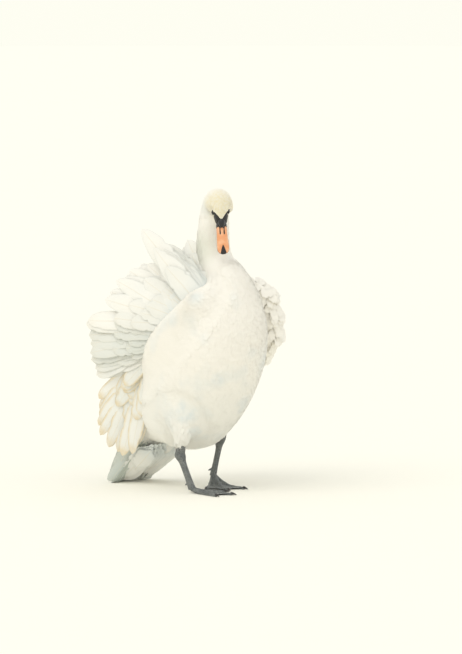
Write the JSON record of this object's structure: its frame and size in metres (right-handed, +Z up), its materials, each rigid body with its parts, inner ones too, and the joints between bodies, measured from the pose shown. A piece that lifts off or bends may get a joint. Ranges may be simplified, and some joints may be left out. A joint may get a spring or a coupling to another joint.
{
  "type": "mute swan",
  "caption": "life-size still model of an adult mute swan, standing upright on two webbed feet and its tail tip, head bowed and turned, wings half lifted and ruffled",
  "frame": {"origin": "on the floor, under the middle of the model's bounding box", "axes": "+Z up; the bird's body faces -Y and its own left side is +X; its head is bowed and turned to its right"},
  "size_m": [0.4816, 0.5734, 0.9097],
  "materials": {
    "body_plumage": "soft white contour feathers, matte",
    "flight_feathers": "white flight feathers with pale shafts, matte",
    "eye": "wet dark brown, nearly black",
    "bill_orange": "satin orange horn",
    "bill_black": "satin black horn and bare skin",
    "leg_skin": "dark grey scaled skin",
    "claw": "black horn"
  },
  "bodies": {
    "root": {"trunk": "body_plumage", "neck_lower": "body_plumage", "neck_upper": "body_plumage", "head": "body_plumage", "thigh_left": "body_plumage", "thigh_right": "body_plumage", "wing_left": "body_plumage", "wing_right": "body_plumage", "scapulars_left": "flight_feathers", "scapulars_right": "flight_feathers", "tertials_left": "flight_feathers", "tertials_right": "flight_feathers", "secondaries_left": "flight_feathers", "secondaries_right": "flight_feathers", "primaries_left": "flight_feathers", "primaries_right": "flight_feathers", "tail": "flight_feathers", "eye_left": "eye", "eye_right": "eye", "bill_upper": "bill_orange", "bill_lower": "bill_black", "bill_knob": "bill_black", "bill_nail": "bill_black", "leg_left": "leg_skin", "leg_right": "leg_skin", "foot_left": "leg_skin", "foot_right": "leg_skin", "claw_inner_left": "claw", "claw_middle_left": "claw", "claw_outer_left": "claw", "claw_inner_right": "claw", "claw_middle_right": "claw", "claw_outer_right": "claw"}
  },
  "joints": []
}
